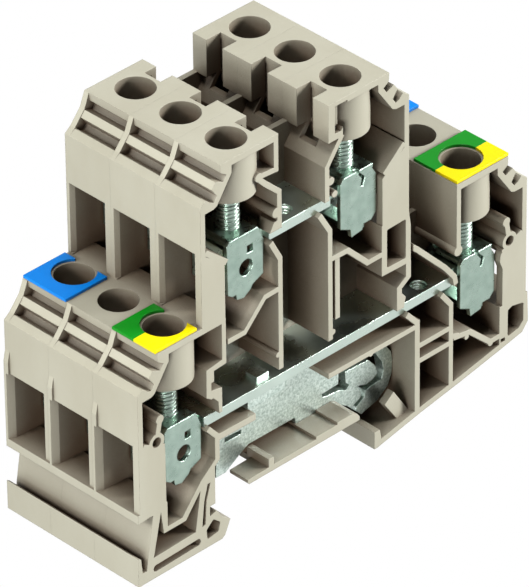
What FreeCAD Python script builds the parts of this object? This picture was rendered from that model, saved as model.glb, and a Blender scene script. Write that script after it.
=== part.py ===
import FreeCAD, Part
import math
import os

# Double level terminal block: three snapped-together modules, each with two clamps
# on a lower level and two clamps on an upper level. Lengths in millimetres.
# X runs along the module, Y through the stack (front module first), Z up from the foot.

# Stack of modules
PITCH = 9.9
PLATE = 1.0
SLICES = ("earth", "line", "neutral")
STACK_FRONT = -PITCH * len(SLICES) / 2.0
PLATE_FACE = PITCH - PLATE
ROOT = PLATE_FACE + PLATE / 2.0
MID_Y = PITCH / 2.0
CLAMP_Y = 4.75

# Levels and clamp positions
LOWER_TOP = 41.4
UPPER_TOP = 69.2
LOWER_AXIS = 32.4
UPPER_CENTRE = -6.4
UPPER_HALF = 12.2
CELLS = {
    "lower_left": {"axis": -LOWER_AXIS, "top": LOWER_TOP, "side": -1, "inner": -8.3},
    "upper_left": {"axis": UPPER_CENTRE - UPPER_HALF, "top": UPPER_TOP, "side": -1, "inner": -6.4},
    "upper_right": {"axis": UPPER_CENTRE + UPPER_HALF, "top": UPPER_TOP, "side": 1, "inner": -7.3},
    "lower_right": {"axis": LOWER_AXIS, "top": LOWER_TOP, "side": 1, "inner": -5.7},
}

# Walls
WALL = 1.1
THIN = 0.95
TOP_T = 1.15
FRONT_T = 1.3
OUTER = 10.2
OUTER_IN = 9.2

# Screw hole and its boss, depths counted down from the top plate
HOLE_R = 3.25
BOSS_R = 4.6
BOSS_DEPTH = 9.0
LEDGE_DEPTH = 7.7
LEDGE_R = 2.3

# Clamp screw
SHANK_R = 1.95
HEAD_R = 2.95
HEAD_TOP = 5.0
HEAD_BOTTOM = 7.4
SLOT_W = 0.8
SLOT_DEPTH = 1.3
TIP_CHAMFER = 0.4

# Busbars
BAR_T = 1.8
BAR_DEPTH = 17.4
BAR_FRONT = 0.8
BAR_GAP = 0.3
TONGUE_HALF = 2.6
TAPPED_R = 1.35
UPPER_TAP = (-7.9, 3.4)
LOWER_TAP = (21.0, 2.8)
LOW_BAR_TOP = LOWER_TOP - BAR_DEPTH
LOW_BAR_UNDER = LOW_BAR_TOP - BAR_T
HIGH_BAR_TOP = UPPER_TOP - BAR_DEPTH
HIGH_BAR_UNDER = HIGH_BAR_TOP - BAR_T

# Clamping yoke
YOKE_HALF_X = 3.85
YOKE_HALF_Y = 3.85
YOKE_SHEET = 0.8
YOKE_FOLD = 0.7
YOKE_TOP = 15.7
YOKE_BOTTOM = 27.3
YOKE_HOLE_R = 2.0
WINDOW_R = 1.45
WINDOW_X = 0.14
WINDOW_DEPTH = 21.9

# Wire entries
ENTRY_TOP = {"lower": 15.6, "upper": 14.7}
ENTRY_BOTTOM = {"lower": 28.0, "upper": 27.6}
MOUTH_CHAMFER = 0.8

# Outer shoulder of a clamp tower as (outward, down) pairs
SHOULDER = [(5.9, 0.0), (6.9, 2.5), (9.0, 5.0), (OUTER, 5.9)]
COMB = [(3.45, 0.0), (5.9, 0.0), (5.8, 1.4), (6.9, 2.65), (7.7, 3.7), (8.7, 5.2), (9.0, 5.1),
        (OUTER, 5.9), (OUTER, 7.4), (7.35, 7.35), (6.6, 7.0), (3.5, 2.5)]
LABEL_GROOVES = [
    [(6.2, 1.0), (5.8, 1.4), (5.6, 1.65), (4.6, 2.3), (5.3, 3.3), (6.9, 2.65), (7.4, 2.3)],
    [(7.9, 3.3), (7.7, 3.7), (6.65, 5.2), (7.3, 6.15), (8.0, 5.9), (8.7, 5.2), (9.1, 4.9)],
]
# Front wall of each tower: slanted top edge, inner edge, and the depth where it ends
UPPER_LIP = [(OUTER, 14.0), (9.1, 15.2)]
LOWER_LIP = [(OUTER, 15.0), (9.1, 15.8), (4.75, 17.5)]
FACES = {
    "lower_left": LOWER_LIP + [(4.6, 18.1), (4.6, 29.4)],
    "upper_left": UPPER_LIP + [(5.25, 18.1), (5.25, 28.7)],
    "upper_right": UPPER_LIP + [(5.1, 18.25), (4.35, 18.9), (4.35, 33.2)],
    "lower_right": LOWER_LIP + [(4.3, 18.1), (4.15, 19.3), (4.8, 20.9), (4.8, 33.2)],
}
CEILING = {"lower": [(9.2, 15.8), (4.75, 17.75)], "upper": [(9.2, 14.4), (4.75, 18.2)]}
RING = (6.35, 16.2)
RING_R = 1.6
RING_HOLE_R = 0.9
BALL = (5.6, 12.3)
BALL_R = 0.8
UPPER_FLOOR = [(-6.7, 28.4), (-3.2, 28.5), (1.16, 32.9), (4.8, 32.9)]
LOWER_FLOOR = [(-6.2, 28.8), (-2.55, 29.4), (2.06, 33.6), (5.4, 33.6)]
LEFT_FLOOR = [(-4.5, 19.2), (-6.4, 21.4), (-6.4, 25.8), (-3.2, 28.4), (1.1, 33.5), (5.4, 33.5)]

# Rail side of the housing
SEAT_Z = 7.4
SEAT_LEFT = -23.0
SEAT_RIGHT = 7.5
SEAT_RELIEF = 0.1
GROOVE_END = -27.8
SADDLE_Z = 62.5

# Earth foot
FOOT_Y = 4.95
FOOT_T = 1.8
RIVET_X = -14.2
RIVET_Y = 3.2
RIVET_TAIL_R = 1.7
RIVET_HEAD = 1.25
RIVET_HEAD_T = 0.7

# Marker plates
MARKER_T = 0.5
MARKER_OUT = 6.1
MARKER_IN = {"lower_left": -2.7, "lower_right": -5.5}
MARKER_ARM = 2.4
MARKER_EDGE = 0.2
MARKER_R = 3.6


def vec(x, y, z):
    return FreeCAD.Vector(x, y, z)


def prism(points, y0, y1):
    """Outline of (x, z) points pulled along Y."""
    corners = [vec(x, y0, z) for x, z in points]
    return Part.Face(Part.makePolygon(corners + corners[:1])).extrude(vec(0, y1 - y0, 0))


def plate_xy(points, z0, z1):
    """Outline of (x, y) points pulled along Z."""
    corners = [vec(x, y, z0) for x, y in points]
    return Part.Face(Part.makePolygon(corners + corners[:1])).extrude(vec(0, 0, z1 - z0))


def box(x0, x1, y0, y1, z0, z1):
    return Part.makeBox(x1 - x0, y1 - y0, z1 - z0, vec(x0, y0, z0))


def post(x, z, radius, y0, y1):
    """Round bar along Y."""
    return Part.makeCylinder(radius, y1 - y0, vec(x, y0, z), vec(0, 1, 0))


def upright(x, y, radius, z0, z1):
    """Round bar along Z."""
    return Part.makeCylinder(radius, z1 - z0, vec(x, y, z0), vec(0, 0, 1))


def offset_point(before, here, after, width):
    """Mitred point beside a bend of a line, `width` to its left."""
    first = math.atan2(here[1] - before[1], here[0] - before[0])
    second = math.atan2(after[1] - here[1], after[0] - here[0])
    middle = (first + second) / 2.0
    if abs(first - second) > math.pi:
        middle += math.pi
    reach = width / math.cos(middle - first)
    return (here[0] - reach * math.sin(middle), here[1] + reach * math.cos(middle))


def band(points, width, y0, y1):
    """Wall of even width whose middle line runs through the (x, z) points."""
    start = (2 * points[0][0] - points[1][0], 2 * points[0][1] - points[1][1])
    end = (2 * points[-1][0] - points[-2][0], 2 * points[-1][1] - points[-2][1])
    line = [start] + points + [end]
    left = []
    right = []
    for index in range(1, len(line) - 1):
        left.append(offset_point(line[index - 1], line[index], line[index + 1], width / 2.0))
        right.append(offset_point(line[index - 1], line[index], line[index + 1], -width / 2.0))
    return prism(left + right[::-1], y0, y1)


def join(shapes):
    whole = shapes[0].multiFuse(shapes[1:])
    return whole.removeSplitter()


def at(cell, outward, down):
    """Point of a clamp tower from its distance outward of the screw and down from the top."""
    return (cell["axis"] + cell["side"] * outward, cell["top"] - down)


def spots(cell, pairs):
    return [at(cell, outward, down) for outward, down in pairs]


def level(name):
    return name.split("_")[0]


def cell_box(cell, out0, out1, y0, y1, down0, down1):
    xa, za = at(cell, out0, down0)
    xb, zb = at(cell, out1, down1)
    return box(min(xa, xb), max(xa, xb), y0, y1, min(za, zb), max(za, zb))


def foot_edge():
    """Left foot with its screwdriver lip, from the hook round to the body's lower corner."""
    return [(-25.3, 0.0), (-43.2, 0.0), (-43.2, 5.4), (-42.6, 5.0), (-42.3, 2.2), (-41.4, 2.2),
            (-41.15, 4.2), (-39.7, 12.9)]


def hook_edge():
    """Groove behind the left hook and the hook's tip."""
    return [(GROOVE_END, SEAT_Z + SEAT_RELIEF), (GROOVE_END, 5.6), (-26.4, 6.0), (-25.3, 4.3),
            (-23.45, 2.98), (-24.6, 0.46)]


def rail_edge():
    """Edge that faces the rail, from the right lip to the left hook."""
    relief = SEAT_Z + SEAT_RELIEF
    return [(8.3, 0.0), (8.3, 3.2), (9.5, 3.2), (9.7, 4.0), (11.2, 4.9), (11.2, relief),
            (SEAT_RIGHT, relief), (SEAT_RIGHT, SEAT_Z), (SEAT_LEFT, SEAT_Z),
            (SEAT_LEFT, relief)] + hook_edge()


def slope_edge():
    """Inclined underside on the right, from the outer corner down to the lip."""
    return [(43.2, 7.7), (41.85, 6.1), (36.8, 5.05), (27.65, 3.4), (18.55, 1.9), (9.1, 0.0)]


def outline():
    """Silhouette of a module, clockwise from the foot."""
    ll, ul, ur, lr = [CELLS[key] for key in ("lower_left", "upper_left", "upper_right", "lower_right")]
    points = foot_edge()
    points += [(-41.2, 12.9), (-41.2, 11.9), (-43.0, 11.9), (-43.0, 28.0), (-42.6, 30.0)]
    points += spots(ll, SHOULDER)[::-1]
    points += [(at(ul, OUTER, 0)[0], LOWER_TOP)]
    points += spots(ul, SHOULDER)[::-1]
    points += [at(ul, ul["inner"], 0), (at(ul, ul["inner"], 0)[0], SADDLE_Z)]
    points += [(at(ur, ur["inner"], 0)[0], SADDLE_Z), at(ur, ur["inner"], 0)]
    points += spots(ur, SHOULDER)
    points += [(at(ur, OUTER, 0)[0], 37.0), (20.8, 32.6), (at(lr, lr["inner"], 0)[0], 32.6)]
    points += [at(lr, lr["inner"], 0)]
    points += spots(lr, SHOULDER)
    points += [(42.6, 30.0), (43.0, 28.0)]
    return points + slope_edge() + rail_edge()


def tower(name):
    """Top plate, shoulder, boss, outer wall, funnel ceiling, front wall and floor of one clamp."""
    cell = CELLS[name]
    face = FACES[name]
    floor = LEFT_FLOOR if name == "lower_left" else {"lower": LOWER_FLOOR, "upper": UPPER_FLOOR}[level(name)]
    pieces = [
        cell_box(cell, cell["inner"], 3.6, 0, ROOT, 0, TOP_T),
        prism(spots(cell, COMB), 0, ROOT),
        upright(cell["axis"], CLAMP_Y, BOSS_R, cell["top"] - BOSS_DEPTH, cell["top"]),
        cell_box(cell, OUTER_IN, OUTER, 0, ROOT, 6.2, ENTRY_BOTTOM[level(name)]),
        prism(spots(cell, face + [(OUTER, face[-1][1])]), 0, FRONT_T),
        band(spots(cell, CEILING[level(name)]), THIN, 0, ROOT),
        band(spots(cell, floor), THIN, 0, ROOT),
    ]
    if level(name) == "lower":
        pieces += eye_tab(cell)
    return pieces


def eye_tab(cell):
    """Hollow rib with a stalk and a ball beside the boss of a lower clamp."""
    ring = at(cell, *RING)
    ball = at(cell, *BALL)
    return [
        post(*ring, RING_R, 0, ROOT),
        band([ring, ball], 1.0, 0, ROOT),
        post(*ball, BALL_R, 0, ROOT),
    ]


def tower_cuts(name):
    """Screw hole, ledge, wire entry with its chamfered cheek, and label grooves."""
    cell = CELLS[name]
    top = cell["top"]
    high = ENTRY_TOP[level(name)]
    deep = ENTRY_BOTTOM[level(name)]
    cuts = [
        upright(cell["axis"], CLAMP_Y, HOLE_R, top - LEDGE_DEPTH, top + 1),
        upright(cell["axis"], CLAMP_Y, LEDGE_R, top - BOSS_DEPTH - 1, top),
        cell_box(cell, OUTER_IN, OUTER + 1.0, FRONT_T, PLATE_FACE, high, deep),
    ]
    inner_x = at(cell, OUTER_IN + 0.1, 0)[0]
    outer_x = at(cell, OUTER + 1.0, 0)[0]
    cheek = [(inner_x, PLATE_FACE), (outer_x, PLATE_FACE), (outer_x, PLATE_FACE + MOUTH_CHAMFER)]
    cuts.append(plate_xy(cheek, top - deep, top - high))
    for groove in LABEL_GROOVES:
        cuts.append(prism(spots(cell, groove), -1, PLATE_FACE))
    if level(name) == "lower":
        cuts.append(post(*at(cell, *RING), RING_HOLE_R, -1, PLATE_FACE))
    return cuts


def foot_block():
    """Left foot up to the floor of the lower left clamp."""
    points = foot_edge()[1:] + [(-36.8, 12.9), (-36.8, 7.9), (-33.5, 7.9), (-29.2, 13.0),
                                (-27.3, 14.5), (-26.6, 14.5), (-26.6, SEAT_Z + SEAT_RELIEF)]
    points += hook_edge() + [foot_edge()[0]]
    return prism(points, 0, ROOT)


def rounded(shape, radius):
    """Prism with its corners that run along Y rounded."""
    corners = [edge for edge in shape.Edges if abs(edge.tangentAt(edge.FirstParameter).y) > 0.99]
    return shape.makeFillet(radius, corners)


def long_slot(start, end, radius, y0, y1):
    """Slot with round ends between two (x, z) points."""
    return join([band([start, end], 2 * radius, y0, y1), post(*start, radius, y0, y1),
                 post(*end, radius, y0, y1)])


def foot_pockets():
    latch = [(-39.9, 3.95), (-30.9, 4.2), (-29.75, 11.5), (-32.95, 7.45), (-37.65, 7.45), (-38.2, 11.8)]
    groove = [(-29.5, 4.4), (-28.8, 4.6), (-28.5, 8.9), (-27.6, 12.0), (-28.2, 12.0), (-29.0, 9.0)]
    catch = [(-28.6, 3.36), (-27.1, 4.71), (-25.65, 3.47), (-26.05, 1.87), (-28.45, 1.49)]
    return [
        prism(latch, -1, PLATE_FACE),
        prism(groove, -1, PLATE_FACE),
        rounded(prism(catch, -1, PLATE_FACE), 0.35),
        long_slot((-39.4, 1.75), (-30.5, 1.98), 0.62, -1, PLATE_FACE),
    ]


def left_walls():
    """Walls of the lower left and upper left clamps and of the channel between the levels."""
    sill = [(-43.0, 13.4), (-43.0, 11.9), (-41.2, 11.9), (-41.2, 12.9), (-36.8, 12.2), (-36.8, 13.1)]
    between = [(-24.66, 41.0), (-23.8, 41.0), (-23.8, 32.6), (-26.45, 32.4), (-26.45, 30.45),
               (-27.05, 30.45), (-27.05, 29.0), (-24.8, 28.55), (-24.8, LOW_BAR_TOP),
               (-25.45, LOW_BAR_TOP), (-25.6, 26.25), (-26.66, 27.4), (-27.1, 27.4), (-28.1, 28.1),
               (-28.05, 33.2), (-24.66, 33.66)]
    return [
        prism(sill, 0, ROOT),
        prism(between, 0, ROOT),
        band([(-12.7, 69.0), (-12.7, 62.9), (-16.3, 63.2)], THIN, 0, ROOT),
        post(-16.4, 63.1, 0.75, 0, ROOT),
        band([(-16.2, 62.6), (-15.0, 61.3), (-12.1, 58.6), (-12.1, HIGH_BAR_TOP)], THIN, 0, ROOT),
        post(-12.7, 55.0, 0.9, 0, ROOT),
        prism([(-14.2, HIGH_BAR_TOP), (-12.0, HIGH_BAR_TOP), (-12.0, 53.6), (-13.3, 53.4)], 0, 3.0),
        band([(-14.0, HIGH_BAR_UNDER), (-12.07, 46.3), (-12.07, 25.7)], THIN, 0, ROOT),
        post(-12.65, 28.6, 0.5, 0, ROOT),
    ]


def right_walls():
    """Walls of the upper right and lower right clamps."""
    lower_right = CELLS["lower_right"]
    return [
        prism([(-1.5, 62.3), (-1.5, UPPER_TOP), (1.6, UPPER_TOP), (1.6, 62.3)], 0, ROOT),
        band([(1.5, 62.6), (-1.85, 58.1), (-1.85, HIGH_BAR_TOP)], THIN, 0, ROOT),
        post(-1.0, 55.2, 0.7, 0, ROOT),
        post(-0.2, 52.5, 0.6, 0, ROOT),
        band([(-3.5, HIGH_BAR_UNDER), (-1.3, 46.2), (-1.3, 25.7)], THIN, 0, ROOT),
        post(-0.75, 27.0, 0.5, 0, ROOT),
        box(0.05, 1.05, 0.3, ROOT, 28.8, 40.0),
        prism([(10.0, 36.0), (10.0, 41.6), (16.0, 41.6), (16.4, 39.0), (16.4, 32.0), (10.0, 32.2)], 0, ROOT),
        band([(15.9, 32.5), (15.9, 29.4), (13.9, 28.1), (13.9, LOW_BAR_TOP)], WALL, 0, ROOT),
        prism([(14.3, 27.1), (15.3, 25.9), (14.9, LOW_BAR_TOP), (14.3, LOW_BAR_TOP)], 0, ROOT),
        band([(16.2, 35.0), (17.9, 33.5), (24.1, 27.1), (26.3, 24.3), (26.6, 22.7)], THIN, 0, ROOT),
        band([(27.15, 41.0), (27.15, 28.6)], THIN, 0, ROOT),
        post(27.1, 28.8, 0.9, 0, ROOT),
        post(*at(lower_right, -3.3, 30.0), 0.5, 0, ROOT),
        post(*at(lower_right, 2.2, 33.9), 0.55, 0, ROOT),
    ]


def right_pockets():
    shapes = [
        [(11.15, 40.4), (15.3, 40.5), (15.3, 33.2), (11.15, 33.3)],
        [(38.5, 11.9), (39.5, 12.3), (42.1, 11.7), (42.1, 8.3), (41.1, 7.3), (38.5, 6.8)],
    ]
    pockets = [rounded(prism(points, -1, PLATE_FACE), 0.35) for points in shapes]
    pockets.append(box(16.4, 17.0, -1, 3.0, 33.0, 36.5))
    pockets.append(box(36.9, 37.9, -1, PLATE_FACE, 6.35, 7.05))
    return pockets


def shelf_depth(earth):
    return FOOT_Y - 0.1 if earth else ROOT


def base_walls(earth):
    """Inclined floor, its ribs, the shelves under the lower busbar and the rail seat."""
    depth = shelf_depth(earth)
    return [
        prism([(43.2, 7.7), (41.85, 6.1), (36.6, 5.05), (36.6, 9.0), (36.6, 13.4), (43.0, 13.4)], 0, ROOT),
        band([(37.4, 5.75), (27.6, 3.95), (18.5, 2.45), (9.1, 0.6)], WALL, 0, ROOT),
        prism([(8.3, 0.0), (8.3, 3.2), (9.5, 3.2), (10.0, 0.3), (9.1, 0.0)], 0, ROOT),
        band([(23.4, LOW_BAR_UNDER), (25.5, 19.4), (25.5, 3.6)], THIN, 0, ROOT),
        band([(25.5, 13.2), (27.2, 12.6)], THIN, 0, ROOT),
        band([(17.9, 20.0), (17.9, 2.3)], WALL, 0, ROOT),
        band([(17.9, 14.95), (25.5, 14.95)], THIN, 0, ROOT),
        band([(17.9, 12.05), (25.5, 12.05)], THIN, 0, ROOT),
        band([(-26.4, 19.6), (-17.7, 19.45)], 1.2, 0, depth),
        band([(-1.8, 19.07), (17.9, 18.95)], THIN, 0, depth),
        post(7.6, 18.7, 0.45, 0, depth),
        band([(15.6, LOW_BAR_UNDER), (17.9, 19.6)], THIN, 0, ROOT),
        prism(rail_bar(), 0, ROOT),
        prism([(-19.3, SEAT_Z), (-15.0, SEAT_Z), (-15.0, 8.4), (-19.6, 8.3), (-19.6, 7.75)], 0, 4.0),
        prism([(-15.0, SEAT_Z), (-13.9, SEAT_Z), (-13.9, 9.9), (-15.0, 9.9)], 0, depth),
        prism([(11.9, 6.15), (13.9, 7.7), (17.45, 2.2), (14.95, 1.7)], FRONT_T, 2 * FRONT_T),
    ]


def rail_bar():
    """Flat bar that sits on the rail, with its stepped upper side."""
    return [(-15.0, SEAT_Z), (5.0, SEAT_Z), (5.0, 8.1), (4.4, 8.9), (3.4, 9.35), (0.1, 9.35),
            (0.1, 8.95), (-4.6, 8.95), (-4.6, 8.5), (-15.0, 8.5)]


def top_details():
    """Key channels in the inner ends of the upper towers and the recess in the right one."""
    recess = [(-0.12, 68.4), (-0.12, 63.5), (1.2, 63.4), (2.0, 64.6), (2.6, 65.2), (2.6, 68.4)]
    return [
        box(-3.0, 1.6, 3.3, 6.9, 60.0, UPPER_TOP + 1),
        box(-14.7, -11.0, 3.3, 6.9, 62.0, UPPER_TOP + 1),
        prism(recess, -1, 1.2),
    ]


def housing(kind):
    """Moulded module: a back plate with every wall standing on it, open at the front."""
    earth = kind == "earth"
    solids = [prism(outline(), PLATE_FACE, PITCH), foot_block()]
    for name in CELLS:
        solids += tower(name)
    solids += left_walls() + right_walls() + base_walls(earth)
    whole = join(solids)
    cuts = foot_pockets() + right_pockets() + top_details() + [busbar_blank(True), busbar_blank(False)]
    for name in CELLS:
        cuts += tower_cuts(name)
    if earth:
        cuts.append(prism(earth_outline(), FOOT_Y - 0.05, FOOT_Y + FOOT_T + 0.05))
    return whole.cut(cuts).removeSplitter()


def busbar_blank(lower):
    """Flat bar with a narrower tongue into each clamp."""
    left = CELLS["lower_left" if lower else "upper_left"]
    right = CELLS["lower_right" if lower else "upper_right"]
    z1 = left["top"] - BAR_DEPTH
    z0 = z1 - BAR_T
    reach = YOKE_HALF_X - 0.2
    wide0, wide1 = (-28.0, 26.2) if lower else (-13.6, -0.4)
    return join([
        box(left["axis"] - reach, right["axis"] + reach, CLAMP_Y - TONGUE_HALF, CLAMP_Y + TONGUE_HALF, z0, z1),
        box(wide0, wide1, BAR_FRONT, PLATE_FACE, z0, z1),
    ])


def busbar(lower):
    """Busbar with its tapped hole."""
    hole_x, hole_y = LOWER_TAP if lower else UPPER_TAP
    return busbar_blank(lower).cut(upright(hole_x, hole_y, TAPPED_R, 0, UPPER_TOP))


def yoke_front():
    """Front cheek of a yoke, clockwise from its upper left corner."""
    half = YOKE_HALF_X
    return [(-half, -17.6), (-half, -YOKE_TOP - 0.7), (-half + 0.7, -YOKE_TOP), (2.7, -YOKE_TOP),
            (half, -18.3), (half - 0.1, -24.66), (1.47, -25.67), (1.1, -26.3), (-0.4, -YOKE_BOTTOM),
            (-1.8, -YOKE_BOTTOM + 0.3), (-2.0, -26.0), (-2.8, -26.0), (-half + 0.15, -25.4)]


def yoke_back():
    """Back cheek of a yoke, seen from the front."""
    half = YOKE_HALF_X
    return [(-half, -17.9), (-2.54, -YOKE_TOP), (half - 0.7, -YOKE_TOP), (half, -YOKE_TOP - 0.9),
            (half, -24.8), (1.7, -25.8), (1.5, -YOKE_BOTTOM), (-0.8, -YOKE_BOTTOM + 0.3),
            (-1.16, -26.0), (-2.84, -26.0), (-half, -24.9)]


def yoke():
    """Folded sheet ring: two cheeks, a doubled top with the screw hole and a bottom jaw."""
    half = YOKE_HALF_X
    inner = YOKE_HALF_Y - YOKE_SHEET
    top_z = -YOKE_TOP
    body = join([
        prism(yoke_front(), -YOKE_HALF_Y, -inner),
        prism(yoke_back(), inner, YOKE_HALF_Y),
        box(-half + 0.7, 2.5, -YOKE_HALF_Y, YOKE_HALF_Y, top_z - YOKE_FOLD, top_z),
        box(-half + 0.5, half - 0.5, -YOKE_HALF_Y + YOKE_SHEET / 2, YOKE_HALF_Y - YOKE_SHEET / 2,
            top_z - 2 * YOKE_FOLD, top_z - YOKE_FOLD),
        jaw(),
    ])
    back_slot = [(-0.2, top_z + 1), (-0.2, top_z - 0.3), (-1.5, top_z - 1.7), (-1.0, top_z - 3.2),
                 (-0.5, top_z - 3.0), (-0.8, top_z - 1.7), (0.5, top_z), (0.5, top_z + 1)]
    body = body.cut([
        upright(0, 0, YOKE_HOLE_R, top_z - 3, top_z + 1),
        post(WINDOW_X, -WINDOW_DEPTH, WINDOW_R, -YOKE_HALF_Y - 1, -inner),
        box(0.4, 1.7, -YOKE_HALF_Y - 1, -inner, -19.5, -18.1),
        prism(back_slot, inner, YOKE_HALF_Y + 1),
    ])
    return body.removeSplitter()


def jaw():
    """Bottom of the ring, which lifts the wire against the busbar."""
    return box(-1.6, 1.1, -YOKE_HALF_Y + YOKE_SHEET / 2, YOKE_HALF_Y - YOKE_SHEET / 2,
               -YOKE_BOTTOM + 0.3, -YOKE_BOTTOM + 0.3 + YOKE_SHEET)


def screw():
    """Clamp screw: slotted cheese head, plain shank at the thread's outside, chamfered tip."""
    tip = -(BAR_DEPTH - BAR_GAP)
    shank = upright(0, 0, SHANK_R, tip + TIP_CHAMFER, -HEAD_TOP - 1)
    cone = Part.makeCone(SHANK_R - TIP_CHAMFER, SHANK_R, TIP_CHAMFER, vec(0, 0, tip), vec(0, 0, 1))
    head = upright(0, 0, HEAD_R, -HEAD_BOTTOM, -HEAD_TOP)
    whole = join([shank, cone, head])
    return whole.cut([
        box(-HEAD_R - 1, HEAD_R + 1, -SLOT_W / 2, SLOT_W / 2, -HEAD_TOP - SLOT_DEPTH, -HEAD_TOP + 1),
    ])


def earth_outline():
    """Flat earth foot: arm to the left tip, sprung lobe and the hooked ring on the right."""
    return [
        (-19.0, LOW_BAR_UNDER), (12.6, LOW_BAR_UNDER), (12.6, 17.2), (15.7, 13.9), (17.0, 12.2),
        (17.3, 10.4), (17.1, 7.9), (16.2, 5.9), (13.9, 4.3), (10.3, 3.35), (9.0, 4.7), (9.2, 5.3),
        (11.0, 6.4), (11.3, 7.4), (12.6, 7.8), (14.9, 7.9), (15.3, 9.4), (15.0, 11.2), (13.5, 13.5), (12.8, 14.1),
        (5.3, 14.1), (5.2, 11.75), (1.5, 11.6), (1.8, 10.8), (5.5, 10.35), (6.9, 9.7),
        (7.7, 10.4), (6.9, 11.1), (6.75, 13.25), (11.9, 13.05), (13.4, 11.3), (14.0, 9.5),
        (12.7, 8.75), (11.3, 8.55), (10.2, 9.0), (9.3, 9.15), (9.8, 8.3), (10.3, 7.5),
        (10.2, 6.7), (8.4, 5.85), (4.2, 8.3), (2.5, 8.5), (-3.5, 8.5), (-4.2, 8.9),
        (-4.5, 10.1), (-14.6, 10.2), (-16.3, 9.3), (-19.6, SEAT_Z - 0.1), (-21.7, SEAT_Z - 0.1),
        (-21.5, 12.0), (-20.9, 18.0),
    ]


def earth_foot():
    """Steel plate from the lower busbar to the rail, with a flange bent under the bar."""
    plate = prism(earth_outline(), FOOT_Y, FOOT_Y + FOOT_T)
    flange = box(RIVET_X - 4.0, RIVET_X + 4.0, 1.2, FOOT_Y + 0.5, LOW_BAR_UNDER - FOOT_T, LOW_BAR_UNDER)
    whole = join([plate, flange])
    slot = prism([(-19.7, 13.9), (-16.1, 13.7), (-16.1, 12.95), (-19.7, 12.95)], 0, PITCH)
    hole = upright(RIVET_X, RIVET_Y, TAPPED_R, LOW_BAR_UNDER - FOOT_T - 1, LOW_BAR_UNDER + 1)
    return whole.cut([slot, hole])


def rivet():
    """Rivet with a square upper head, through the busbar and the flange of the earth foot."""
    low = LOW_BAR_UNDER - FOOT_T
    shank = upright(RIVET_X, RIVET_Y, TAPPED_R, low, LOW_BAR_TOP)
    head = box(RIVET_X - RIVET_HEAD, RIVET_X + RIVET_HEAD, RIVET_Y - RIVET_HEAD, RIVET_Y + RIVET_HEAD,
               LOW_BAR_TOP, LOW_BAR_TOP + RIVET_HEAD_T)
    tail = upright(RIVET_X, RIVET_Y, RIVET_TAIL_R, low - 0.7, low)
    return join([shank, head, tail])


def marker(name, part):
    """Marker plate round a lower screw hole; `part` keeps the front or back half."""
    cell = CELLS[name]
    xa = at(cell, MARKER_OUT, 0)[0]
    xb = at(cell, MARKER_IN[name], 0)[0]
    y0 = MARKER_EDGE if part != "back" else MID_Y
    y1 = PITCH - MARKER_EDGE if part != "front" else MID_Y
    top = cell["top"]
    sheet = box(min(xa, xb), max(xa, xb), y0, y1, top, top + MARKER_T)
    cuts = [upright(cell["axis"], CLAMP_Y, MARKER_R, top - 1, top + 1)]
    if name == "lower_left":
        cuts.append(box(cell["axis"], xb + 0.01, MARKER_EDGE + MARKER_ARM,
                        PITCH - MARKER_EDGE - MARKER_ARM, top - 1, top + 1))
    return sheet.cut(cuts)


def save(name, shape, slice_index):
    """Move a shape of one module to its place in the stack and write it."""
    placed = shape.copy()
    placed.translate(vec(0, STACK_FRONT + slice_index * PITCH, 0))
    placed.exportStep(os.path.join("parts", name + ".step"))
    box_now = placed.BoundBox
    print(name, placed.isValid(), len(placed.Solids), round(placed.Volume, 1),
          [round(v, 2) for v in (box_now.XMin, box_now.XMax, box_now.YMin, box_now.YMax,
                                 box_now.ZMin, box_now.ZMax)])


def save_clamp(cell_name, kind, slice_index):
    """Write the yoke and the screw of one clamp; right-hand yokes are turned half round."""
    cell = CELLS[cell_name]
    for label, shape in (("yoke", yoke()), ("screw", screw())):
        if label == "yoke" and cell["side"] > 0:
            shape.rotate(vec(0, 0, 0), vec(0, 0, 1), 180)
        shape.translate(vec(cell["axis"], CLAMP_Y, cell["top"]))
        save("_".join((label, cell_name, kind)), shape, slice_index)


def build():
    os.makedirs("parts", exist_ok=True)
    for index, kind in enumerate(SLICES):
        save("housing_" + kind, housing(kind), index)
        save("busbar_upper_" + kind, busbar(False), index)
        lower = busbar(True)
        if kind == "earth":
            lower = lower.cut(upright(RIVET_X, RIVET_Y, TAPPED_R, 0, LOWER_TOP))
        save("busbar_lower_" + kind, lower, index)
        for cell_name in CELLS:
            save_clamp(cell_name, kind, index)
    save("earth_foot", earth_foot(), 0)
    save("earth_rivet", rivet(), 0)
    for side in ("lower_left", "lower_right"):
        save("marker_yellow_" + side, marker(side, "front"), 0)
        save("marker_green_" + side, marker(side, "back"), 0)
        save("marker_blue_" + side, marker(side, "whole"), 2)


build()
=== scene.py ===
import math

import bmesh
import bpy
from mathutils import Matrix, Quaternion, Vector


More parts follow.
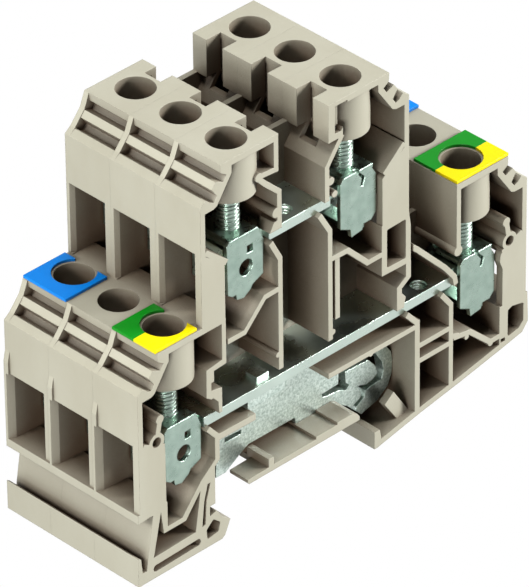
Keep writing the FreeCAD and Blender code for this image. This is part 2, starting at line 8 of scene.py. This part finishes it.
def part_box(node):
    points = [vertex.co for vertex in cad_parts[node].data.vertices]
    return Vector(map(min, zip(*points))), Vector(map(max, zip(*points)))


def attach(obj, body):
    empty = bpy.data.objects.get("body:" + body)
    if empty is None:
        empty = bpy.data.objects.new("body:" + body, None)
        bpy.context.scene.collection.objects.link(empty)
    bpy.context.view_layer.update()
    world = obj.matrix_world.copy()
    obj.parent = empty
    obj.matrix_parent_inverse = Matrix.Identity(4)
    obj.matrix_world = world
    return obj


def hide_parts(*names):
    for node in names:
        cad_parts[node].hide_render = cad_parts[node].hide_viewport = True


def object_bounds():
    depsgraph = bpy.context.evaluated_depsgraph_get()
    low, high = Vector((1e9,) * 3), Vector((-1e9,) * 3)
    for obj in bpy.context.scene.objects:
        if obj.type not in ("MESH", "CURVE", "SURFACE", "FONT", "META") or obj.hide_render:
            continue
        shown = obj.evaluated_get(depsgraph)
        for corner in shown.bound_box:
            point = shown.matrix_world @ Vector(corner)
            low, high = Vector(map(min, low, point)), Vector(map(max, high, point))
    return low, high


# Double level terminal block: finishes, threads, screw heads, light and camera.
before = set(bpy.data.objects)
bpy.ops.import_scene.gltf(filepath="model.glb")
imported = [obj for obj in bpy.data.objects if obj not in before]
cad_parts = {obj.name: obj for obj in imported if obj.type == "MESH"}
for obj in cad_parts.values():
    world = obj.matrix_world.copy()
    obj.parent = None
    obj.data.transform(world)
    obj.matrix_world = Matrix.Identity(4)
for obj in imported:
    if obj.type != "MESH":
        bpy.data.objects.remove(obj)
cad_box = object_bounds()

MM = 0.001
WHITE = (1.0, 1.0, 1.0, 1.0)

# Camera, fitted to the photograph: angles in degrees, lengths in millimetres
CAM_AZIMUTH = -43.95
CAM_ELEVATION = 34.07
CAM_ROLL = -0.774
CAM_DISTANCE = 1145.9
CAM_AIM = (-4.0, 0.15, 36.0)
CAM_FOCAL_PX = 7363.5
CAM_SHIFT_PX = (14.5, -39.0)
PHOTO_HEIGHT_PX = 587
SENSOR = 36.0
CLIP_NEAR_M = 0.05
CLIP_FAR_M = 20.0

# Clamp screws, in millimetres; the thread's section is (share of the pitch, share of the depth)
SHANK_R = 1.95
PITCH = 0.7
THREAD_DEPTH = 0.28
THREAD_SECTION = ((0.0, 0.0), (0.2, 0.0), (0.48, 1.0), (0.7, 1.0))
THREAD_STEPS = 48
THREAD_FADE = 0.6
TIP = 0.45
NECK = 0.6
NECK_INTO_HEAD = 0.2
THREAD_TO_HEAD = 0.1
HEAD_HEIGHT = 2.4
HEAD_BEVEL = 0.22
HEAD_SIDES = 48
SLOT_WIDTH = 0.8
SLOT_DEPTH = 1.25
CROSS_WIDTH = 0.62
CROSS_REACH = 1.55
CUT_BEYOND = 1.0
SHARP_ANGLE = 32.0
WELD = 0.002

# Tapped holes of the busbars: place from the module's front, then thread, in millimetres
TAPS = {"upper": (-7.9, 3.4), "lower": (21.0, 2.8)}
TAP_R = 1.35
TAP_DEPTH = 0.25
TAP_PITCH = 0.5
TAP_RISE = 0.4
TAP_STEPS = 32

# Light: share of the white room that falls on the object, what metal mirrors below and
# above, then lamps as azimuth, elevation, distance and size in metres, and power in watts
WORLD_LIGHT = 0.015
MIRROR_LOW = 0.95
MIRROR_HIGH = 0.3
LAMPS = {
    "key": (52.0, 20.0, 0.9, 0.22, 22.5),
    "front": (-60.0, 5.0, 0.35, 0.15, 1.3),
    "left": (-100.0, 28.0, 0.9, 0.22, 8.5),
    "top": (-70.0, 76.0, 0.9, 0.25, 7.0),
}

# Moulded surfaces: features per metre, and the flow marks' stretch along the module's height
FLOW_MARKS = 90.0
FLOW_STRETCH = (1.0, 1.0, 0.45)
PLASTIC_GLOSS = 700.0
PLASTIC_GRAIN = 5200.0
PLASTIC_GRAIN_MM = 0.006
PLASTIC_ROUGHNESS = 0.42
MARKER_ROUGHNESS = 0.35
PLASTIC_IOR = 1.5
PLASTIC_SPECULAR = 0.22

# Painted shade in the hollows of moulded pieces, darkening their base colour: reach in millimetres,
# deepest tint, and the openness at which it is deepest and at which it ends
HOLLOW_REACH = 15.0
HOLLOW_SHADE = (0.20, 0.13, 0.10, 1.0)
HOLLOW_DEEPEST = 0.15
HOLLOW_END = 0.95

# Plated surfaces: gloss and grain are so much finer than the patches of colour
GLOSS_FINER = 2.3
GRAIN_FINER = 6.0

# Softened edges of moulded and pressed pieces, in millimetres
PLASTIC_EDGE = 0.14
METAL_EDGE = 0.10
YOKE_EDGE = 0.3


def linear(red, green, blue):
    """Display colour from 0 to 255 as the linear values that shaders take."""
    values = []
    for channel in (red, green, blue):
        share = channel / 255.0
        values.append(share / 12.92 if share <= 0.04045 else ((share + 0.055) / 1.055) ** 2.4)
    return (*values, 1.0)


def new_material(name, colour, roughness, metallic=0.0):
    """Principled material; returns it with its node tree and its shader node."""
    made = bpy.data.materials.new(name)
    made.use_nodes = True
    shader = made.node_tree.nodes["Principled BSDF"]
    shader.inputs["Base Color"].default_value = colour
    shader.inputs["Roughness"].default_value = roughness
    shader.inputs["Metallic"].default_value = metallic
    return made, made.node_tree, shader


def noise(tree, scale, detail=3.0, roughness=0.5, stretch=(1.0, 1.0, 1.0)):
    """Noise in object space; scale is in features per metre."""
    place = tree.nodes.new("ShaderNodeTexCoord")
    mapping = tree.nodes.new("ShaderNodeMapping")
    mapping.inputs["Scale"].default_value = stretch
    texture = tree.nodes.new("ShaderNodeTexNoise")
    texture.inputs["Scale"].default_value = scale
    texture.inputs["Detail"].default_value = detail
    texture.inputs["Roughness"].default_value = roughness
    tree.links.new(place.outputs["Object"], mapping.inputs["Vector"])
    tree.links.new(mapping.outputs["Vector"], texture.inputs["Vector"])
    return texture.outputs["Fac"]


def ramp(tree, value, *stops):
    """Colour ramp between two (position, colour) stops."""
    node = tree.nodes.new("ShaderNodeValToRGB")
    for element, (position, colour) in zip(node.color_ramp.elements, stops):
        element.position = position
        element.color = colour
    tree.links.new(value, node.inputs["Fac"])
    return node.outputs["Color"]


def spread(tree, value, low, high):
    """Stretch the middle of a noise value onto the range from low to high."""
    node = tree.nodes.new("ShaderNodeMapRange")
    node.inputs["From Min"].default_value = 0.3
    node.inputs["From Max"].default_value = 0.7
    node.inputs["To Min"].default_value = low
    node.inputs["To Max"].default_value = high
    tree.links.new(value, node.inputs["Value"])
    return node.outputs["Result"]


def surface(tree, shader, height, depth, edge):
    """Bump of the given depth in millimetres over edges rounded to the given radius."""
    rounding = tree.nodes.new("ShaderNodeBevel")
    rounding.samples = 6
    rounding.inputs["Radius"].default_value = edge * MM
    bump = tree.nodes.new("ShaderNodeBump")
    bump.inputs["Strength"].default_value = 1.0
    bump.inputs["Distance"].default_value = depth * MM
    tree.links.new(height, bump.inputs["Height"])
    tree.links.new(rounding.outputs["Normal"], bump.inputs["Normal"])
    tree.links.new(bump.outputs["Normal"], shader.inputs["Normal"])


def painted_hollow_shade(tree, colour):
    """Multiply a colour by a painted shade that deepens inside narrow hollows, driven by ambient
    occlusion.
    """
    # Painted shade: occlusion darkens the base colour towards a warm brown inside hollows
    occlusion = tree.nodes.new("ShaderNodeAmbientOcclusion")
    occlusion.samples = 8
    occlusion.inputs["Distance"].default_value = HOLLOW_REACH * MM
    shade = ramp(tree, occlusion.outputs["AO"], (HOLLOW_DEEPEST, HOLLOW_SHADE), (HOLLOW_END, WHITE))
    product = tree.nodes.new("ShaderNodeVectorMath")
    product.operation = "MULTIPLY"
    tree.links.new(colour, product.inputs[0])
    tree.links.new(shade, product.inputs[1])
    return product.outputs["Vector"]


def moulded(name, colour, deeper, roughness):
    """Moulded polyamide: faint flow marks, fine grain, slightly uneven gloss, and painted shade in
    hollows.
    """
    made, tree, shader = new_material(name, colour, roughness)
    flow = noise(tree, FLOW_MARKS, 4.0, 0.55, FLOW_STRETCH)
    marked = ramp(tree, flow, (0.25, deeper), (0.75, colour))
    gloss = spread(tree, noise(tree, PLASTIC_GLOSS), roughness - 0.06, roughness + 0.08)
    # Base colour: flow marks with painted shade in the hollows multiplied over them
    tree.links.new(painted_hollow_shade(tree, marked), shader.inputs["Base Color"])
    tree.links.new(gloss, shader.inputs["Roughness"])
    shader.inputs["IOR"].default_value = PLASTIC_IOR
    shader.inputs["Specular IOR Level"].default_value = PLASTIC_SPECULAR
    surface(tree, shader, noise(tree, PLASTIC_GRAIN, 2.0), PLASTIC_GRAIN_MM, PLASTIC_EDGE)
    return made


def plated(name, colour, deeper, roughness, grain, scale, edge=METAL_EDGE):
    """Plated sheet: patches that shift colour and gloss, with a grain in millimetres."""
    made, tree, shader = new_material(name, colour, roughness, 1.0)
    patches = ramp(tree, noise(tree, scale, 5.0, 0.6), (0.3, deeper), (0.7, colour))
    uneven = noise(tree, scale * GLOSS_FINER, 4.0)
    tree.links.new(patches, shader.inputs["Base Color"])
    tree.links.new(spread(tree, uneven, roughness - 0.07, roughness + 0.1), shader.inputs["Roughness"])
    surface(tree, shader, noise(tree, scale * GRAIN_FINER, 3.0), grain, edge)
    return made


def marker_plastic(name, colour, deeper):
    """Smoother moulded plastic of the coloured marker plates."""
    return moulded(name, colour, deeper, MARKER_ROUGHNESS)


def make_materials():
    """Every finish by the key that dress_cad looks up."""
    return {
        "housing": moulded("beige_polyamide", linear(148, 146, 132), linear(139, 136, 121),
                           PLASTIC_ROUGHNESS),
        "marker_yellow": marker_plastic("yellow_marker", linear(206, 190, 3), linear(198, 181, 0)),
        "marker_green": marker_plastic("green_marker", linear(8, 122, 22), linear(4, 106, 16)),
        "marker_blue": marker_plastic("blue_marker", linear(0, 116, 202), linear(0, 106, 188)),
        "yoke": plated("zinc_yoke", linear(172, 192, 180), linear(150, 172, 160),
                       roughness=0.3, grain=0.004, scale=420.0, edge=YOKE_EDGE),
        "screw": plated("zinc_screw", linear(168, 184, 174), linear(142, 158, 148),
                        roughness=0.3, grain=0.003, scale=600.0),
        "busbar": plated("tinned_busbar", linear(210, 224, 214), linear(194, 210, 200),
                         roughness=0.28, grain=0.001, scale=60.0),
        "earth": plated("bright_foot", linear(230, 242, 234), linear(158, 178, 167),
                        roughness=0.36, grain=0.02, scale=2600.0),
    }


def dress_cad(materials):
    """Give every CAD node its finish, chosen by the first words of its name."""
    for name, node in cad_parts.items():
        words = name.split("_")
        key = "_".join(words[:2]) if words[0] == "marker" else words[0]
        node.data.materials.clear()
        node.data.materials.append(materials[key])


def polar(radius, angle, height):
    """Point at a radius, an angle and a height about the Z axis, from millimetres."""
    return (radius * math.cos(angle) * MM, radius * math.sin(angle) * MM, height * MM)


def thread_rows(mesh, radius, low, high):
    """Rings of points up a right-hand thread, flattened at both ends."""
    turns = math.ceil((high - low) / PITCH) + 2
    rows = []
    for index in range(len(THREAD_SECTION) * turns + 1):
        turn, step = divmod(index, len(THREAD_SECTION))
        offset, rise = THREAD_SECTION[step]
        ring = []
        for side in range(THREAD_STEPS):
            height = low + PITCH * (turn + offset + side / THREAD_STEPS - 1.0)
            height = min(max(height, low), high)
            fade = min(1.0, (height - low) / THREAD_FADE, (high - height) / THREAD_FADE)
            reach = radius - THREAD_DEPTH + THREAD_DEPTH * rise * fade
            ring.append(mesh.verts.new(polar(reach, 2.0 * math.pi * side / THREAD_STEPS, height)))
        rows.append(ring)
    return rows


def thread_mesh(mesh, radius, low, high):
    """Right-hand helical thread between two heights, closed at both ends."""
    rows = thread_rows(mesh, radius, low, high)
    last = len(rows) - 1
    for index in range(last):
        near = min(index + len(THREAD_SECTION), last)
        far = min(index + 1 + len(THREAD_SECTION), last)
        for side in range(THREAD_STEPS):
            if side + 1 < THREAD_STEPS:
                beside = (rows[index][side + 1], rows[index + 1][side + 1])
            else:
                beside = (rows[near][0], rows[far][0])
            mesh.faces.new(tuple(dict.fromkeys((rows[index][side], *beside, rows[index + 1][side]))))
    mesh.faces.new(rows[0][::-1])
    mesh.faces.new(rows[last])


def lathe(mesh, outline, sides):
    """Closed turned solid from (radius, height) points, first and last on the axis."""
    rings = []
    for radius, height in outline:
        spots = sides if radius > 0.0 else 1
        rings.append([mesh.verts.new(polar(radius, 2.0 * math.pi * side / sides, height))
                      for side in range(spots)])
    for lower, upper in zip(rings, rings[1:]):
        for side in range(sides):
            near = lower[side % len(lower)]
            near_next = lower[(side + 1) % len(lower)]
            far = upper[side % len(upper)]
            far_next = upper[(side + 1) % len(upper)]
            mesh.faces.new(tuple(dict.fromkeys((near, near_next, far_next, far))))


def object_from(mesh, name):
    """Turn a bmesh into an object of the scene."""
    bmesh.ops.remove_doubles(mesh, verts=mesh.verts, dist=WELD * MM)
    bmesh.ops.recalc_face_normals(mesh, faces=mesh.faces)
    data = bpy.data.meshes.new(name)
    mesh.to_mesh(data)
    mesh.free()
    made = bpy.data.objects.new(name, data)
    bpy.context.scene.collection.objects.link(made)
    return made


def bar(name, half_x, half_y, low, high):
    """Upright bar about the Z axis, as a tool to cut with."""
    mesh = bmesh.new()
    bmesh.ops.create_cube(mesh, size=1.0)
    for vertex in mesh.verts:
        x = vertex.co.x * 2.0 * half_x
        y = vertex.co.y * 2.0 * half_y
        vertex.co = Vector((x, y, low + (vertex.co.z + 0.5) * (high - low))) * MM
    return object_from(mesh, name)


def cut_away(target, tools):
    """Subtract tools from a mesh, keep the result and delete the tools."""
    for tool in tools:
        change = target.modifiers.new("cut", "BOOLEAN")
        change.operation = "DIFFERENCE"
        change.solver = "EXACT"
        change.object = tool
    graph = bpy.context.evaluated_depsgraph_get()
    data = bpy.data.meshes.new_from_object(target.evaluated_get(graph))
    target.modifiers.clear()
    target.data = data
    for tool in tools:
        bpy.data.objects.remove(tool)


def screw_head(radius, low, high):
    """Cheese head with a slot and a cross recess."""
    mesh = bmesh.new()
    lathe(mesh, [(0.0, low), (radius - HEAD_BEVEL / 2, low), (radius, low + HEAD_BEVEL / 2),
                 (radius, high - HEAD_BEVEL), (radius - HEAD_BEVEL, high), (0.0, high)], HEAD_SIDES)
    head = object_from(mesh, "head")
    floor = high - SLOT_DEPTH
    cut_away(head, [
        bar("slot", radius + CUT_BEYOND, SLOT_WIDTH / 2, floor, high + CUT_BEYOND),
        bar("cross", CROSS_WIDTH / 2, CROSS_REACH, floor, high + CUT_BEYOND),
    ])
    return head


def screw_template(height, head_r):
    """Whole clamp screw about the Z axis, with its tip at height 0."""
    mesh = bmesh.new()
    head_low = height - HEAD_HEIGHT
    root = SHANK_R - THREAD_DEPTH
    thread_mesh(mesh, SHANK_R, TIP, head_low - THREAD_TO_HEAD)
    lathe(mesh, [(0.0, 0.0), (root - TIP, 0.0), (root, TIP), (0.0, TIP)], THREAD_STEPS)
    lathe(mesh, [(0.0, head_low - NECK), (root, head_low - NECK), (root, head_low + NECK_INTO_HEAD),
                 (0.0, head_low + NECK_INTO_HEAD)], THREAD_STEPS)
    head = screw_head(head_r, head_low, height)
    mesh.from_mesh(head.data)
    bpy.data.objects.remove(head)
    return object_from(mesh, "screw_template")


def add_screws(materials):
    """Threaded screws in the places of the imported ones, all from one mesh."""
    names = [name for name in sorted(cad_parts) if name.startswith("screw_")]
    low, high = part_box(names[0])
    template = screw_template((high.z - low.z) / MM, (high.x - low.x) / 2.0 / MM)
    for name in names:
        low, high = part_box(name)
        centre = (low + high) / 2.0
        piece = bpy.data.objects.new("threaded_" + name, template.data.copy())
        bpy.context.scene.collection.objects.link(piece)
        piece.data.transform(Matrix.Translation((centre.x, centre.y, low.z)))
        piece.data.materials.append(materials["screw"])
        piece.data.shade_smooth()
        piece.data.set_sharp_from_angle(angle=math.radians(SHARP_ANGLE))
        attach(piece, name)
        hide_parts(name)
    bpy.data.objects.remove(template)


def ridge_mesh(mesh, height):
    """Helical ridge with a triangular section on the wall of a tapped hole."""
    half = TAP_RISE / 2.0
    section = ((TAP_R, -half), (TAP_R - TAP_DEPTH, 0.0), (TAP_R, half))
    rows = []
    for index in range(math.floor(TAP_STEPS * (height - TAP_RISE) / TAP_PITCH) + 1):
        angle = 2.0 * math.pi * index / TAP_STEPS
        middle = half + TAP_PITCH * index / TAP_STEPS
        rows.append([mesh.verts.new(polar(radius, angle, middle + rise)) for radius, rise in section])
    for near, far in zip(rows, rows[1:]):
        for side in range(len(section)):
            following = (side + 1) % len(section)
            mesh.faces.new((near[side], near[following], far[following], far[side]))
    mesh.faces.new(rows[0][::-1])
    mesh.faces.new(rows[-1])


def add_tapped_threads(materials):
    """Thread of the tapped hole in each busbar."""
    for name in sorted(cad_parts):
        if not name.startswith("busbar_"):
            continue
        level, module = name.split("_")[1:]
        along, behind = TAPS[level]
        low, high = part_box(name)
        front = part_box("housing_" + module)[0].y
        mesh = bmesh.new()
        ridge_mesh(mesh, (high.z - low.z) / MM)
        piece = object_from(mesh, "tapped_thread_%s_%s" % (level, module))
        piece.data.transform(Matrix.Translation((along * MM, front + behind * MM, low.z)))
        piece.data.materials.append(materials["busbar"])
        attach(piece, "block")


def blend(tree, share, low, high):
    """Number that goes from low to high with share; each may be a value or an output."""
    node = tree.nodes.new("ShaderNodeMapRange")
    for socket, value in (("Value", share), ("To Min", low), ("To Max", high)):
        if isinstance(value, float):
            node.inputs[socket].default_value = value
        else:
            tree.links.new(value, node.inputs[socket])
    return node.outputs["Result"]


def make_world():
    """White to the camera, a pale ground under a dimmer sky to metal, and dim to the rest."""
    world = bpy.data.worlds.new("studio")
    bpy.context.scene.world = world
    world.use_nodes = True
    tree = world.node_tree
    path = tree.nodes.new("ShaderNodeLightPath")
    split = tree.nodes.new("ShaderNodeSeparateXYZ")
    place = tree.nodes.new("ShaderNodeTexCoord")
    tree.links.new(place.outputs["Generated"], split.inputs["Vector"])
    mirrored = blend(tree, split.outputs["Z"], MIRROR_LOW, MIRROR_HIGH)
    other = blend(tree, path.outputs["Is Glossy Ray"], WORLD_LIGHT, mirrored)
    strength = blend(tree, path.outputs["Is Camera Ray"], other, 1.0)
    shader = tree.nodes["Background"]
    shader.inputs["Color"].default_value = WHITE
    tree.links.new(strength, shader.inputs["Strength"])


def back_direction(azimuth, elevation):
    """Direction from the object towards a viewer; azimuth 0 looks along +Y."""
    turn = math.radians(azimuth)
    lift = math.radians(elevation)
    return Vector((math.sin(turn) * math.cos(lift), -math.cos(turn) * math.cos(lift), math.sin(lift)))


def add_lamp(name, azimuth, elevation, distance, size, power):
    """Square area lamp aimed at the middle of the object; angles as the camera's."""
    data = bpy.data.lights.new(name, "AREA")
    data.shape = "SQUARE"
    data.size = size
    data.energy = power
    lamp = bpy.data.objects.new(name, data)
    back = back_direction(azimuth, elevation)
    lamp.location = (cad_box[0] + cad_box[1]) / 2.0 + back * distance
    lamp.rotation_mode = "QUATERNION"
    lamp.rotation_quaternion = (-back).to_track_quat("-Z", "Y")
    bpy.context.scene.collection.objects.link(lamp)


def make_camera():
    """Camera at the photograph's viewing angle, with its framing as a small shift."""
    data = bpy.data.cameras.new("camera")
    data.lens = CAM_FOCAL_PX * SENSOR / PHOTO_HEIGHT_PX
    data.sensor_width = SENSOR
    data.shift_x = CAM_SHIFT_PX[0] / PHOTO_HEIGHT_PX
    data.shift_y = CAM_SHIFT_PX[1] / PHOTO_HEIGHT_PX
    data.clip_start = CLIP_NEAR_M
    data.clip_end = CLIP_FAR_M
    camera = bpy.data.objects.new("camera", data)
    back = back_direction(CAM_AZIMUTH, CAM_ELEVATION)
    camera.location = Vector(CAM_AIM) * MM + back * CAM_DISTANCE * MM
    camera.rotation_mode = "QUATERNION"
    aim = (-back).to_track_quat("-Z", "Y")
    camera.rotation_quaternion = aim @ Quaternion((0.0, 0.0, 1.0), math.radians(CAM_ROLL))
    bpy.context.scene.collection.objects.link(camera)
    bpy.context.scene.camera = camera


def build():
    """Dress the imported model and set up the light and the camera."""
    bpy.context.scene.view_settings.view_transform = "Standard"
    materials = make_materials()
    dress_cad(materials)
    add_screws(materials)
    add_tapped_threads(materials)
    make_world()
    for name, values in LAMPS.items():
        add_lamp(name, *values)
    make_camera()


build()
